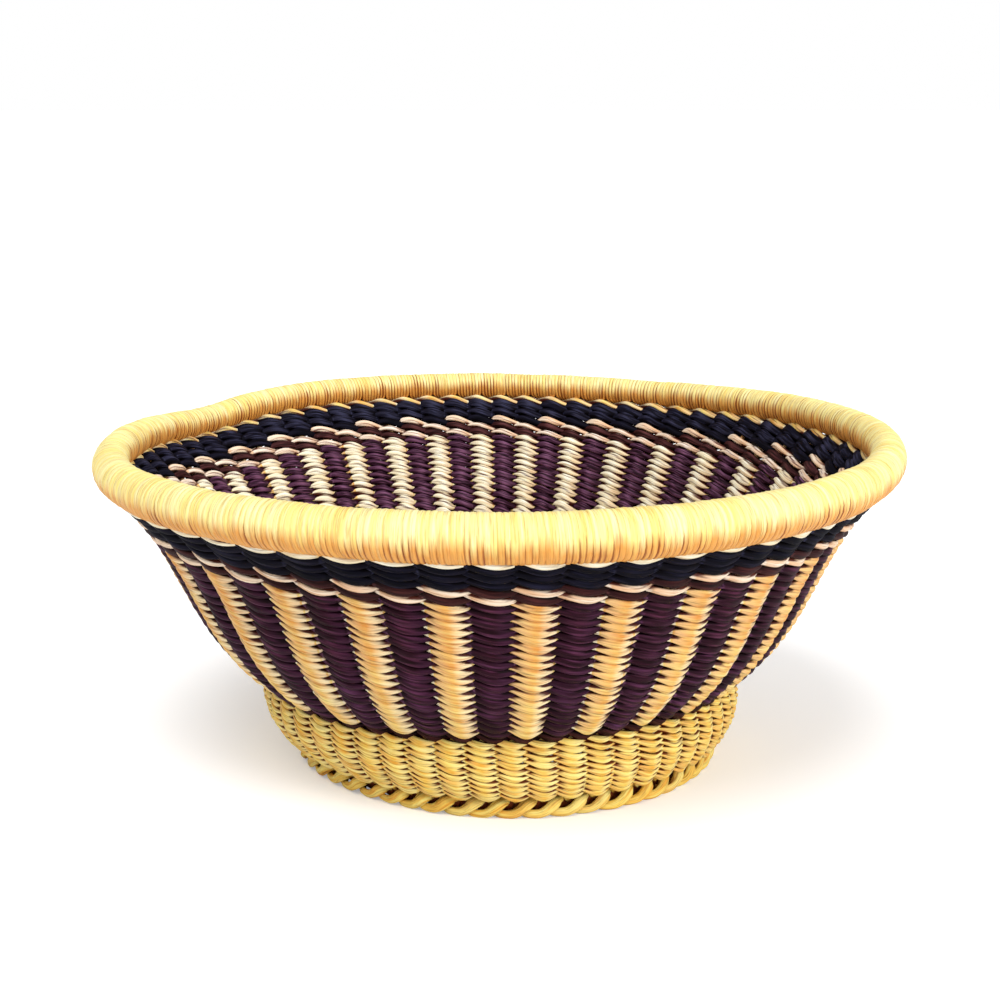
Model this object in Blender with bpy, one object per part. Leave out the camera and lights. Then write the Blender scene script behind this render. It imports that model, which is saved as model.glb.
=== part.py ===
"""Bolga bowl basket: a flared, striped bowl on a woven foot, with a bound rim.

Metres, +Z up. The origin is on the ground, in the middle of the foot.
The basket is round and has 64 upright stakes. Strands are woven round the stakes, in front of
one and behind the next. The foot has its own stakes, whose lower ends are plaited into a border.
The front is at -Y. The stakes stand closer together at the back than at the front.
"""

import math

import bmesh
import bpy
from mathutils import Vector

# Count of upright stakes. One stripe of the wall is one stake wide.
STAKES = 64

# The stakes fan out as if from a point this far behind the middle, towards +Y.
FAN_OFFSET = 0.020

# Rim: a core hoop with a binding round it.
RIM_OUTER_RADIUS = 0.190
RIM_HALF_WIDTH = 0.0100
RIM_HALF_HEIGHT = 0.0095
RIM_CENTRE_HEIGHT = 0.1467
RIM_STEPS = 54
BINDING_THICKNESS = 0.0032
BINDING_SLOT_DEGREES = (-108.0, -58.0)
BINDING_POINTS = 8
CORE_POINTS = 6
CORE_DEPTH = 0.0041

# Bowl wall, measured at the middle of its thickness.
WALL_ROWS = 25
WAIST_RADIUS = 0.1093
WAIST_HEIGHT = 0.0392
WALL_TOP_RADIUS = 0.1822
WALL_TOP_HEIGHT = 0.1376
WALL_BULGE = 0.0027
WALL_S_CURVE = 0.0049
WALL_BEND_ROWS = (0.0, 5.5, 16.75, 21.0, 25.2)

# Bowl floor, level with the waist. The centre knot binds the crossed stakes above and below.
FLOOR_HEIGHT = WAIST_HEIGHT
HUB_RADIUS = 0.020
HUB_HOLE_RADIUS = 0.006
KNOT_RADIUS = 0.0820
KNOT_THICKNESS = 0.0016
KNOT_STEPS = 36
FLOOR_STRAND_RADII = (0.084, 0.0938, 0.1035)

# Foot, measured at the middle of its thickness.
FOOT_BOTTOM_RADIUS = 0.1013
FOOT_BOTTOM_HEIGHT = 0.0100
FOOT_TOP_RADIUS = 0.1083
FOOT_TOP_HEIGHT = 0.0345
FOOT_BELLY = 0.0031
FOOT_STRAND_COUNT = 4
FOOT_STRAND_START = 0.35
FOOT_STAKE_TIP = (0.1058, 0.0387)

# Plaited border that the basket stands on.
BORDER_INNER_RADIUS = 0.0915
BORDER_OUTER_RADIUS = 0.0975
BORDER_BULGE = 0.0022
BORDER_MIDDLE_HEIGHT = 0.0045
BORDER_SWELL = 0.0012

# Sections of the stakes and of the flattened strands.
STAKE_WIDTH = 0.0024
STAKE_THICKNESS = 0.0024
HUB_STAKE_WIDTH = 0.0017
STRAND_THICKNESS = 0.0014
STRAND_LIFT = 0.0029

# Space left between pieces that touch.
CLEARANCE = 0.0003

# Edges bent more than this are shaded sharp.
SHARP_ANGLE = math.radians(35.0)

# Colours up the wall, by rows from the waist.
STRIPE_ROWS = (1.0, 19.0)
STRIPE_STRAND_PAIRS = 4
LOWER_CREAM_ROW = 20.0
NAVY_ROWS = (21.0, 22.5, 24.0)
RIM_STRAND_TOP_ROW = 24.5

STRAW = ("natural_straw", (0.83, 0.58, 0.25), 0.55)
PURPLE = ("purple_straw", (0.085, 0.025, 0.075), 0.5)
NAVY = ("navy_straw", (0.012, 0.012, 0.028), 0.45)
CREAM = ("cream_straw", (0.88, 0.70, 0.48), 0.5)
CORE = ("rim_core_grass", (0.45, 0.30, 0.13), 0.8)
STAKE = ("stake_straw", (0.62, 0.42, 0.19), 0.7)


def clear_scene():
    for item in list(bpy.data.objects):
        bpy.data.objects.remove(item, do_unlink=True)


def straw_material(spec):
    name, colour, roughness = spec
    material = bpy.data.materials.get(name) or bpy.data.materials.new(name)
    material.use_nodes = True
    shader = material.node_tree.nodes["Principled BSDF"]
    shader.inputs["Base Color"].default_value = (*colour, 1.0)
    shader.inputs["Roughness"].default_value = roughness
    shader.inputs["Metallic"].default_value = 0.0
    material.diffuse_color = (*colour, 1.0)
    return material


def add_piece(name, shape, spec):
    """Turn a finished bmesh into a named object with its own material."""
    bmesh.ops.recalc_face_normals(shape, faces=shape.faces[:])
    mesh = bpy.data.meshes.new(name)
    shape.to_mesh(mesh)
    shape.free()
    mesh.shade_smooth()
    mesh.set_sharp_from_angle(angle=SHARP_ANGLE)
    mesh.materials.append(straw_material(spec))
    piece = bpy.data.objects.new(name, mesh)
    bpy.context.collection.objects.link(piece)
    return piece


def wall_point(row):
    """Radius and height of the middle of the wall at a row of weaving, 0 at the waist."""
    t = row / WALL_ROWS
    radius = WAIST_RADIUS + (WALL_TOP_RADIUS - WAIST_RADIUS) * t
    radius += WALL_BULGE * 4.0 * t * (1.0 - t)
    radius += WALL_S_CURVE * 10.0 * t * (1.0 - t) * (1.0 - 2.0 * t)
    return radius, WAIST_HEIGHT + (WALL_TOP_HEIGHT - WAIST_HEIGHT) * t


def foot_point(share):
    """Radius and height of the middle of the foot's thickness, 0 at its border, 1 at the waist."""
    radius = FOOT_BOTTOM_RADIUS + (FOOT_TOP_RADIUS - FOOT_BOTTOM_RADIUS) * share
    radius += FOOT_BELLY * 4.0 * share * (1.0 - share)
    return radius, FOOT_BOTTOM_HEIGHT + (FOOT_TOP_HEIGHT - FOOT_BOTTOM_HEIGHT) * share


class Line:
    """A bent line in the radius and height plane, with a scale of places along it."""

    def __init__(self, places, points):
        self.places = list(places)
        self.points = [Vector(point) for point in points]
        self.outward = [self._mitre(i) for i in range(len(self.points))]

    def _side(self, i):
        step = (self.points[i + 1] - self.points[i]).normalized()
        return Vector((step.y, -step.x))

    def _mitre(self, i):
        """Direction out of the basket at a bend, long enough to keep the thickness."""
        before = self._side(max(i - 1, 0))
        after = self._side(min(i, len(self.points) - 2))
        middle = (before + after).normalized()
        return middle / middle.dot(before)

    def _stretch(self, place):
        i = 0
        while i < len(self.places) - 2 and place > self.places[i + 1]:
            i += 1
        return i

    def at(self, place, offset):
        """Radius and height at a place on the line, moved outward by an offset."""
        i = self._stretch(place)
        share = (place - self.places[i]) / (self.places[i + 1] - self.places[i])
        start = self.points[i] + self.outward[i] * offset
        end = self.points[i + 1] + self.outward[i + 1] * offset
        return start.lerp(end, share)

    def trim(self, start, end, length):
        """Two places with a length taken off at each end of the stretch that they lie on."""
        i = self._stretch(0.5 * (start + end))
        step = (self.points[i + 1] - self.points[i]).length / (self.places[i + 1] - self.places[i])
        return start + length / step, end - length / step


def round_the_basket(radius, height, angle, sideways=0.0):
    """A point at a radius and height, at an angle, moved sideways across that angle."""
    c, s = math.cos(angle), math.sin(angle)
    return Vector((radius * c - sideways * s, radius * s + sideways * c, height))


def heading(k):
    """Direction in which a stake fans out."""
    angle = 2.0 * math.pi * k / STAKES
    return Vector((math.cos(angle), math.sin(angle)))


def angle_where(start, direction, radius):
    """Angle at which a straight line from a start point reaches a radius."""
    along = start.dot(direction)
    reach = math.sqrt(radius ** 2 - start.length_squared + along ** 2) - along
    point = start + reach * direction
    return math.atan2(point.y, point.x)


def wall_angle(k, radius):
    """Angle at which a stake of the wall stands at a radius."""
    return angle_where(Vector((0.0, FAN_OFFSET)), heading(k), radius)


def foot_angle(k, radius):
    """The foot's stakes stand half a step round from the wall's."""
    return wall_angle(k + 0.5, radius)


def floor_angle(k, radius):
    """On the floor a stake runs straight from the hub to its place at the waist."""
    start = HUB_RADIUS * heading(k)
    waist = wall_angle(k, WAIST_RADIUS)
    end = WAIST_RADIUS * Vector((math.cos(waist), math.sin(waist)))
    return angle_where(start, (end - start).normalized(), radius)


def woven_strand(name, line, start, end, phase, spec, angle_at=wall_angle):
    """A flat strand all round: outside one stake, inside the next."""
    shape = bmesh.new()
    low, high = line.trim(start, end, 0.5 * CLEARANCE)
    rings = []
    for k in range(STAKES):
        side = 1.0 if (k + phase) % 2 == 0 else -1.0
        middle = side * STRAND_LIFT
        outer, inner = middle + 0.5 * STRAND_THICKNESS, middle - 0.5 * STRAND_THICKNESS
        corners = ((low, outer), (high, outer), (high, inner), (low, inner))
        ring = []
        for place, offset in corners:
            radius, height = line.at(place, offset)
            ring.append(shape.verts.new(round_the_basket(radius, height, angle_at(k, radius))))
        rings.append(ring)
    for k in range(STAKES):
        join_rings(shape, rings[k], rings[(k + 1) % STAKES])
    return add_piece(name, shape, spec)


def join_rings(shape, ring, following, skip=()):
    """Faces between two outlines with the same count of points."""
    count = len(ring)
    for i in range(count):
        if i not in skip:
            j = (i + 1) % count
            shape.faces.new((ring[i], ring[j], following[j], following[i]))


def stake_section(shape, line, place, k, angle_at, width):
    """Four corners of a stake across its line, outer side first."""
    corners = []
    angle = angle_at(k, line.at(place, 0.0).x)
    for offset, sideways in ((1, -1), (1, 1), (-1, 1), (-1, -1)):
        radius, height = line.at(place, 0.5 * STAKE_THICKNESS * offset)
        corners.append(shape.verts.new(round_the_basket(radius, height, angle, 0.5 * width * sideways)))
    return corners


def grow_stake(shape, base, line, places, k, angle_at):
    """Carry a stake on from its base corners through the places of its line, to a closed tip."""
    for place in places:
        section = stake_section(shape, line, place, k, angle_at, STAKE_WIDTH)
        join_rings(shape, base, section)
        base = section
    shape.faces.new(base)


def bowl_stakes(line):
    """The bowl's stakes: crossed at the middle of the floor, laid out flat and turned up the wall."""
    shape = bmesh.new()
    under, over = [], []
    for k in range(STAKES):
        base = stake_section(shape, line, line.places[0], k, floor_angle, HUB_STAKE_WIDTH)
        grow_stake(shape, base, line, line.places[1:], k, wall_angle)
        under += base[:2]
        over += [base[3], base[2]]
    hole_under = [shape.verts.new(hub_hole_point(corner.co)) for corner in under]
    hole_over = [shape.verts.new(hub_hole_point(corner.co)) for corner in over]
    join_rings(shape, under, hole_under)
    join_rings(shape, hole_under, hole_over)
    join_rings(shape, hole_over, over)
    join_rings(shape, over, under, skip=range(0, 2 * STAKES, 2))
    return add_piece("bowl_stakes", shape, STAKE)


def hub_hole_point(corner):
    """The point on the edge of the hub's hole in line with a corner of the hub."""
    flat = corner.xy.normalized() * HUB_HOLE_RADIUS
    return flat.x, flat.y, corner.z


def border_section(shape, angle, sideways, line, swell):
    """Outline of the plaited border: flat below, and as wide as a stake on top."""
    outer_top = line.at(line.places[0], 0.5 * STAKE_THICKNESS)
    inner_top = line.at(line.places[0], -0.5 * STAKE_THICKNESS)
    outline = (
        outer_top,
        inner_top,
        (BORDER_INNER_RADIUS - BORDER_BULGE, BORDER_MIDDLE_HEIGHT),
        (BORDER_INNER_RADIUS, 0.0),
        (BORDER_OUTER_RADIUS, 0.0),
        (BORDER_OUTER_RADIUS + BORDER_BULGE + swell, BORDER_MIDDLE_HEIGHT + 0.5 * swell),
    )
    return [shape.verts.new(round_the_basket(r, z, angle, sideways)) for r, z in outline]


def foot_stakes_and_border(line):
    """The foot's stakes and the border that their lower ends are plaited into."""
    shape = bmesh.new()
    left_sides, right_sides = [], []
    for k in range(STAKES):
        angle = foot_angle(k, line.points[0].x)
        left = border_section(shape, angle, -0.5 * STAKE_WIDTH, line, -BORDER_SWELL)
        right = border_section(shape, angle, 0.5 * STAKE_WIDTH, line, BORDER_SWELL)
        join_rings(shape, left, right, skip=(0,))
        base = [left[0], right[0], right[1], left[1]]
        grow_stake(shape, base, line, line.places[1:], k, foot_angle)
        left_sides.append(left)
        right_sides.append(right)
    for k in range(STAKES):
        join_rings(shape, right_sides[k], left_sides[(k + 1) % STAKES])
    return add_piece("foot_stakes_and_plaited_border", shape, STRAW)


def turned_ring(name, outline, spec, steps=RIM_STEPS):
    """A closed outline in the radius and height plane, turned once round the basket."""
    shape = bmesh.new()
    corners = [shape.verts.new((radius, 0.0, height)) for radius, height in outline]
    face = shape.faces.new(corners)
    geometry = [face, *face.edges, *face.verts]
    bmesh.ops.spin(
        shape,
        geom=geometry,
        cent=(0.0, 0.0, 0.0),
        axis=(0.0, 0.0, 1.0),
        angle=2.0 * math.pi,
        steps=steps,
        use_duplicate=False,
    )
    bmesh.ops.remove_doubles(shape, verts=shape.verts[:], dist=1e-5)
    ends = [f for f in shape.faces if all(abs(v.co.y) < 1e-6 for v in f.verts)]
    bmesh.ops.delete(shape, geom=ends, context="FACES_ONLY")
    return add_piece(name, shape, spec)


def rim_arc(shrink, start_degrees, end_degrees, count):
    """Points on the rim's oval, made smaller by a depth, from one angle to another."""
    centre = RIM_OUTER_RADIUS - RIM_HALF_WIDTH
    points = []
    for i in range(count):
        angle = math.radians(start_degrees + (end_degrees - start_degrees) * i / (count - 1))
        radius = centre + (RIM_HALF_WIDTH - shrink) * math.cos(angle)
        points.append((radius, RIM_CENTRE_HEIGHT + (RIM_HALF_HEIGHT - shrink) * math.sin(angle)))
    return points


def rim_core():
    """A hoop of bundled grass inside the binding, its section a polygon with a flat side up."""
    step = 360.0 / CORE_POINTS
    outline = rim_arc(CORE_DEPTH, 0.0, 360.0 - step, CORE_POINTS)
    return turned_ring("rim_core", outline, CORE)


def rim_binding():
    """The binding wraps the core all round, except where the wall comes up into it."""
    left, right = BINDING_SLOT_DEGREES
    outside = rim_arc(0.0, right, left + 360.0, BINDING_POINTS)
    inside = rim_arc(BINDING_THICKNESS, left + 360.0, right, BINDING_POINTS)
    return turned_ring("rim_binding", outside + inside, STRAW)


def bowl_line():
    """From the hub out to the waist, scale -1 to 0, then up the wall, where the scale is the row."""
    points = [(HUB_RADIUS, FLOOR_HEIGHT)]
    points += [wall_point(row) for row in WALL_BEND_ROWS]
    return Line([-1.0, *WALL_BEND_ROWS], points)


def foot_line():
    """From the border up the foot, one step for each strand, then to the tips of the stakes."""
    points = [foot_point(i / FOOT_STRAND_COUNT) for i in range(FOOT_STRAND_COUNT + 1)]
    points.append(FOOT_STAKE_TIP)
    return Line(range(len(points)), points)


def floor_centre_knot():
    """Where the weaving starts: bound over and under the hub, and through the hole in it."""
    near = 0.5 * STAKE_THICKNESS + CLEARANCE
    far = near + KNOT_THICKNESS
    neck = HUB_HOLE_RADIUS - CLEARANCE
    outline = (
        (0.0, FLOOR_HEIGHT - far),
        (KNOT_RADIUS, FLOOR_HEIGHT - far),
        (KNOT_RADIUS, FLOOR_HEIGHT - near),
        (neck, FLOOR_HEIGHT - near),
        (neck, FLOOR_HEIGHT + near),
        (KNOT_RADIUS, FLOOR_HEIGHT + near),
        (KNOT_RADIUS, FLOOR_HEIGHT + far),
        (0.0, FLOOR_HEIGHT + far),
    )
    return turned_ring("floor_centre_knot", outline, STRAW, KNOT_STEPS)


def weave_floor(line):
    places = [(radius - HUB_RADIUS) / (WAIST_RADIUS - HUB_RADIUS) - 1.0 for radius in FLOOR_STRAND_RADII]
    for i in range(len(places) - 1):
        woven_strand(f"floor_strand_{i + 1}", line, places[i], places[i + 1], i, STRAW, floor_angle)


def weave_wall(line):
    woven_strand("waist_strand", line, 0.0, STRIPE_ROWS[0], 1, PURPLE)
    low, high = STRIPE_ROWS
    step = (high - low) / (2 * STRIPE_STRAND_PAIRS)
    for i in range(STRIPE_STRAND_PAIRS):
        start = low + 2 * i * step
        woven_strand(f"purple_stripe_strand_{i + 1}", line, start, start + step, 0, PURPLE)
        woven_strand(f"natural_stripe_strand_{i + 1}", line, start + step, start + 2 * step, 1, STRAW)
    woven_strand("lower_cream_strand", line, high, LOWER_CREAM_ROW, 0, CREAM)
    woven_strand("upper_cream_strand", line, LOWER_CREAM_ROW, NAVY_ROWS[0], 1, CREAM)
    for i in range(len(NAVY_ROWS) - 1):
        woven_strand(f"navy_strand_{i + 1}", line, NAVY_ROWS[i], NAVY_ROWS[i + 1], i, NAVY)
    woven_strand("rim_strand", line, NAVY_ROWS[-1], RIM_STRAND_TOP_ROW, 0, CREAM)


def weave_foot(line):
    for i in range(FOOT_STRAND_COUNT):
        start = i + (FOOT_STRAND_START if i == 0 else 0.0)
        woven_strand(f"foot_strand_{i + 1}", line, start, i + 1.0, i, STRAW, foot_angle)


def build_basket():
    clear_scene()
    bowl = bowl_line()
    foot = foot_line()
    bowl_stakes(bowl)
    floor_centre_knot()
    weave_floor(bowl)
    weave_wall(bowl)
    rim_core()
    rim_binding()
    foot_stakes_and_border(foot)
    weave_foot(foot)


build_basket()
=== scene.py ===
"""Looks of the bowl basket: every strand of the weave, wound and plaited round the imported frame.

Metres, +Z up, the front at -Y. A place on a woven surface is given as a row, counted upwards, and
as a stake, counted round the basket; both may be fractions. Offsets are square to the surface,
outward above zero.
"""

import math
from typing import NamedTuple

import bpy
import numpy as np
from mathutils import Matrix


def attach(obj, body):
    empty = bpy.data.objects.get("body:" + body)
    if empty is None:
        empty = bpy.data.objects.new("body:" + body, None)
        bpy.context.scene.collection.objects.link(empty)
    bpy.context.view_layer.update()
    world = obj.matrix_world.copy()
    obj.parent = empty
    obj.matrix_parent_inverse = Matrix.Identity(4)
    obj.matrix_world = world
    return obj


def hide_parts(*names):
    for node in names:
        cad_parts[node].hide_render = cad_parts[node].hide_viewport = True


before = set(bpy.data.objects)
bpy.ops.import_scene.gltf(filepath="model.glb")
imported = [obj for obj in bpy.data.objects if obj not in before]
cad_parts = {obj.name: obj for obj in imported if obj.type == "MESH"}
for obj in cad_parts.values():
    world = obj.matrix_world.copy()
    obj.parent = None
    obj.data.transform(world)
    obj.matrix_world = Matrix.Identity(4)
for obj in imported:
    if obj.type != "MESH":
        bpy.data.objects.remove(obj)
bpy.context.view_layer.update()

MM = 0.001
RANDOM = np.random.default_rng(7)

# The even fan of stakes. It opens from a point behind the basket's middle.
STAKES = 64
FAN_OFFSET = 0.020

# Bowl wall, at the middle of its thickness, and how far its rows are raised as a whole.
WALL_ROWS = 25
WAIST_RADIUS, WAIST_HEIGHT = 0.1093, 0.0392
WALL_TOP_RADIUS, WALL_TOP_HEIGHT = 0.1822, 0.1376
WALL_BULGE, WALL_S_CURVE = 0.0027, 0.0049
WALL_RAISE = 0.0022

# Colours up the wall, by rows from the waist.
WAIST_ROW = 0
STRIPE_ROWS = range(1, 19)
LOWER_STEP_ROW, UPPER_STEP_ROW, BACK_STEP_ROW = 19, 20, 21
NAVY_ROWS = range(21, 24)
RIM_ROW = 24

# Rim. The binding is thinner at the back, where its top and outer side stay in line.
RIM_RADIUS, RIM_HALF_WIDTH, RIM_HALF_HEIGHT = 0.1800, 0.0100, 0.0104
RIM_TOP = 0.1562
THINNER_AT_THE_BACK = 0.32

# How much taller the wall is at the back, to reach up into the thinner binding.
WALL_TALLER = 1.35 * THINNER_AT_THE_BACK * RIM_HALF_HEIGHT

# Turns of the binding for each stake.
TURNS_PER_STAKE = 8

# Foot, at the middle of its thickness, and the plaited border below it.
FOOT_ROWS = 10
FOOT_BOTTOM_RADIUS, FOOT_BOTTOM_HEIGHT = 0.1022, 0.0112
FOOT_TOP_RADIUS, FOOT_TOP_HEIGHT = 0.1105, 0.0395
FOOT_BELLY = 0.0048
BORDER_RADIUS = 0.0954

# The foot's stakes stand midway between the bowl's.
FOOT_STAKE_SHIFT = 0.5

# Bowl floor.
FLOOR_HEIGHT = WAIST_HEIGHT
FLOOR_ROWS = 19
FLOOR_INNER_RADIUS = 0.020

# Fineness of the meshes: places along a strand, and points round a strand and round a stem.
STEPS_PER_STAKE = 10
RING = 12
STEM_RING = 6

# A strand is a few straws laid together: their number, the depth of the grooves between them, by
# how much deeper the grooves of inner stitches are, how dark a groove is painted as painted shade
# and the length of one twist.
STRAWS = 3
GROOVE = 0.10
INNER_GROOVE = 0.6
GROOVE_PAINTED_SHADE = 5.0
TWIST_LENGTH = 0.031


class Piece:
    """Collects swept strands and turns them into one object."""

    def __init__(self):
        self.points, self.quads, self.caps = [], [], []
        self.grain, self.tone, self.crevice, self.lead = [], [], [], []
        self.count = 0

    def sweep(
        self, centre, up, out, half_up, half_out, along, tone, crevice, lead, closed, ring, groove=0.0
    ):
        """A strand with a grooved oval section.

        Directions, sizes, tones and leads are given for each place along it. The painted shade, how
        dark the straw is painted where shade falls, is a function of the place on the section: the
        reach outward, in metres, and the height as a share of the half height.
        """
        steps = len(centre)
        turn = np.arange(ring) * (math.tau / ring)
        c, s = np.cos(turn), np.sin(turn)
        start = RANDOM.uniform(0.0, math.tau)
        lobes = np.cos(STRAWS * turn + (math.tau / TWIST_LENGTH) * along[:, None] + start)
        groove = np.broadcast_to(groove, steps)[:, None]
        bulge = 1.0 + groove * lobes
        rise = half_up[:, None] * s * bulge
        reach = half_out[:, None] * c * bulge
        places = centre[:, None] + up[:, None] * rise[..., None] + out[:, None] * reach[..., None]
        self.points.append(places.reshape(-1, 3))
        shift = RANDOM.uniform(0.0, 1.0, 3)
        height = rise * np.linalg.norm(up, axis=1)[:, None]
        grain = np.stack([np.broadcast_to(along[:, None], rise.shape), height, reach], -1) + shift
        self.grain.append(grain.reshape(-1, 3))
        for store, value in ((self.tone, tone), (self.lead, lead)):
            store.append(np.broadcast_to(value[:, None], rise.shape).ravel())
        # Painted shade in the grooves between the straws.
        dark = GROOVE_PAINTED_SHADE * groove * np.minimum(lobes, 0.0)
        deep = crevice(reach, np.broadcast_to(s, rise.shape)) - dark
        self.crevice.append(np.clip(deep, 0.0, 1.0).ravel())
        rows = np.arange(steps if closed else steps - 1)
        i, j = np.meshgrid(rows, np.arange(ring), indexing="ij")
        i2, j2 = (i + 1) % steps, (j + 1) % ring
        quads = np.stack([i * ring + j, i2 * ring + j, i2 * ring + j2, i * ring + j2], -1)
        self.quads.append(quads.reshape(-1, 4) + self.count)
        if not closed:
            first = self.count + np.arange(ring)
            self.caps.append(first.tolist())
            self.caps.append((first + (steps - 1) * ring)[::-1].tolist())
        self.count += steps * ring

    def make(self, name, material, slot, nodes):
        """Turns what was swept into an object that stands for the named nodes."""
        mesh = bpy.data.meshes.new(name)
        points = handmade(np.concatenate(self.points))
        faces = np.concatenate(self.quads).tolist() + self.caps
        mesh.from_pydata(points.tolist(), [], faces)
        mesh.shade_smooth()
        vectors = mesh.attributes.new("grain", "FLOAT_VECTOR", "POINT")
        vectors.data.foreach_set("vector", np.concatenate(self.grain).astype(np.float32).ravel())
        # One of these attributes is painted shade: how dark the straw is painted where shade falls.
        for key in ("tone", "crevice", "lead"):
            values = mesh.attributes.new(key, "FLOAT", "POINT")
            values.data.foreach_set("value", np.concatenate(getattr(self, key)).astype(np.float32))
        mesh.materials.append(material)
        piece = bpy.data.objects.new(name, mesh)
        bpy.context.collection.objects.link(piece)
        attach(piece, "root")
        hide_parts(*nodes)


# The real basket isn't quite true. Its rim is higher at the right end and lower at the left, and it
# rises towards the back and dips in two places there. Its foot stands a little to the right and is
# flatter at the front left. A dip is an angle round the basket, a width in radians and a depth, in
# metres at the rim and as a share of the radius at the foot.
RIM_RISE_RIGHT, RIM_RISE_BACK = 0.010, 0.0045
RIM_DIPS = ((1.10, 0.45, 0.0018), (2.60, 0.22, 0.0040))
FOOT_ASIDE = 0.0035
FOOT_FLAT = (-2.27, 0.50, 0.035)


def handmade(points):
    """Small unevenness of the whole basket, none at the waist and most at the rim and the ground.

    What rests on the ground is pressed flat there.
    """
    x, y, z = points.T
    share = np.clip((z - WAIST_HEIGHT) / (RIM_TOP - WAIST_HEIGHT), 0.0, 1.0)
    rise = RIM_RISE_RIGHT * x * (x / RIM_RADIUS) ** 2 + RIM_RISE_BACK * (y + RIM_RADIUS)
    for place, width, depth in RIM_DIPS:
        rise = rise - depth * np.exp(-((np.arctan2(y, x) - place) / width) ** 2)
    low = np.clip(1.0 - z / WAIST_HEIGHT, 0.0, 1.0)
    place, width, depth = FOOT_FLAT
    drawn = 1.0 - depth * low * np.exp(-((np.arctan2(y, x) - place) / width) ** 2)
    return np.stack([x * drawn + FOOT_ASIDE * low, y * drawn, np.maximum(z + share * rise, 0.0)], -1)


# The stakes stand a little aside of the even fan: stakes counted from the right end, and by how
# many stakes they are aside.
ASIDE = (
    (-22.5, -0.48),
    (-20.5, -0.24),
    (-17.5, -0.21),
    (-14.5, -0.17),
    (-11.5, -0.13),
    (-8.5, -0.02),
    (-6.5, 0.05),
    (-3.0, 0.55),
    (-0.5, 0.90),
    (2.5, 1.15),
    (5.5, 1.26),
    (7.5, 1.24),
    (9.5, 1.15),
    (11.5, 1.10),
    (13.5, 0.96),
    (15.5, 0.74),
    (17.5, 0.55),
    (19.5, 0.30),
    (21.5, 0.08),
    (23.5, -0.10),
    (25.5, -0.18),
    (29.0, -0.40),
    (33.0, -0.95),
    (35.5, -1.35),
    (37.5, -1.25),
    (39.5, -0.80),
)

# Places worked out for each stake, and the window of places over which the shifts are rounded off.
ASIDE_PLACES_PER_STAKE = 4
ASIDE_WINDOW = 13


def rounded_aside():
    """Even places round the basket, in stakes, and how far aside the stakes stand there."""
    at, by = np.array(ASIDE).T
    places = np.arange(0.0, STAKES, 1.0 / ASIDE_PLACES_PER_STAKE)
    values = np.interp(places, at, by, period=STAKES)
    weights = np.hanning(ASIDE_WINDOW)
    half = ASIDE_WINDOW // 2
    around = np.concatenate([values[-half:], values, values[:half]])
    return places, np.convolve(around, weights / weights.sum(), "valid")


ASIDE_AT, ASIDE_BY = rounded_aside()


def fan_point(stake, radius):
    """Where a stake's line in plan crosses a radius."""
    aside = np.interp(stake, ASIDE_AT, ASIDE_BY, period=STAKES)
    angle = math.tau * (stake + aside) / STAKES
    along = FAN_OFFSET * np.sin(angle)
    reach = np.sqrt(radius ** 2 - FAN_OFFSET ** 2 + along ** 2) - along
    return reach * np.cos(angle), FAN_OFFSET + reach * np.sin(angle)


def backness(x, y):
    """1 at the back of the basket, 0 at the front."""
    return 0.5 + 0.5 * y / np.hypot(x, y)


def arch(t):
    """1 halfway up and 0 at both ends."""
    return 4.0 * t * (1.0 - t)


def bend(t):
    """About 1 low down, 0 halfway up and at both ends, and about -1 high up."""
    return 10.0 * t * (1.0 - t) * (1.0 - 2.0 * t)


def wall_profile(row):
    """Radius and height: a cone that bulges and bends in a slight S."""
    t = row / WALL_ROWS
    radius = WAIST_RADIUS + (WALL_TOP_RADIUS - WAIST_RADIUS) * t
    radius = radius + WALL_BULGE * arch(t)
    radius = radius + WALL_S_CURVE * bend(t)
    return radius, WAIST_HEIGHT + (WALL_TOP_HEIGHT - WAIST_HEIGHT) * t


def foot_profile(row):
    t = row / FOOT_ROWS
    radius = FOOT_BOTTOM_RADIUS + (FOOT_TOP_RADIUS - FOOT_BOTTOM_RADIUS) * t
    radius = radius + FOOT_BELLY * arch(t)
    return radius, FOOT_BOTTOM_HEIGHT + (FOOT_TOP_HEIGHT - FOOT_BOTTOM_HEIGHT) * t


def floor_profile(row):
    radius = FLOOR_INNER_RADIUS + (WAIST_RADIUS - FLOOR_INNER_RADIUS) * row / FLOOR_ROWS
    return radius, np.full_like(radius, FLOOR_HEIGHT)


# How far the rows creep up at the back, so that they lie closer towards the rim.
ROW_CREEP = 0.80


def wall_surface(row, stake):
    """Place in space on the wall, which is a little taller at the back."""
    t = row / WALL_ROWS
    radius, height = wall_profile(row)
    x, y = fan_point(stake, radius)
    back = backness(x, y)
    crept = t + ROW_CREEP * back ** 2 * t * np.clip(1.0 - t, 0.0, 1.0) ** 2
    radius, height = wall_profile(WALL_ROWS * crept)
    x, y = fan_point(stake, radius)
    return np.stack([x, y, height + WALL_RAISE + WALL_TALLER * back * crept], -1)


def foot_surface(row, stake):
    radius, height = foot_profile(row)
    x, y = fan_point(stake + FOOT_STAKE_SHIFT, radius)
    return np.stack([x, y, height], -1)


def floor_surface(row, stake):
    """Place on the floor. The fan of stakes opens from the middle there."""
    radius, height = floor_profile(row)
    opened = (radius - FLOOR_INNER_RADIUS) / (WAIST_RADIUS - FLOOR_INNER_RADIUS)
    x, y = fan_point(stake, np.full_like(radius, WAIST_RADIUS))
    edge = np.arctan2(y, x)
    even = math.tau * stake / STAKES
    swing = (edge - even + math.pi) % math.tau - math.pi
    angle = even + swing * opened
    return np.stack([radius * np.cos(angle), radius * np.sin(angle), height], -1)


# Step, in rows and in stakes, over which a surface's directions are measured.
NUDGE = 0.02


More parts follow.
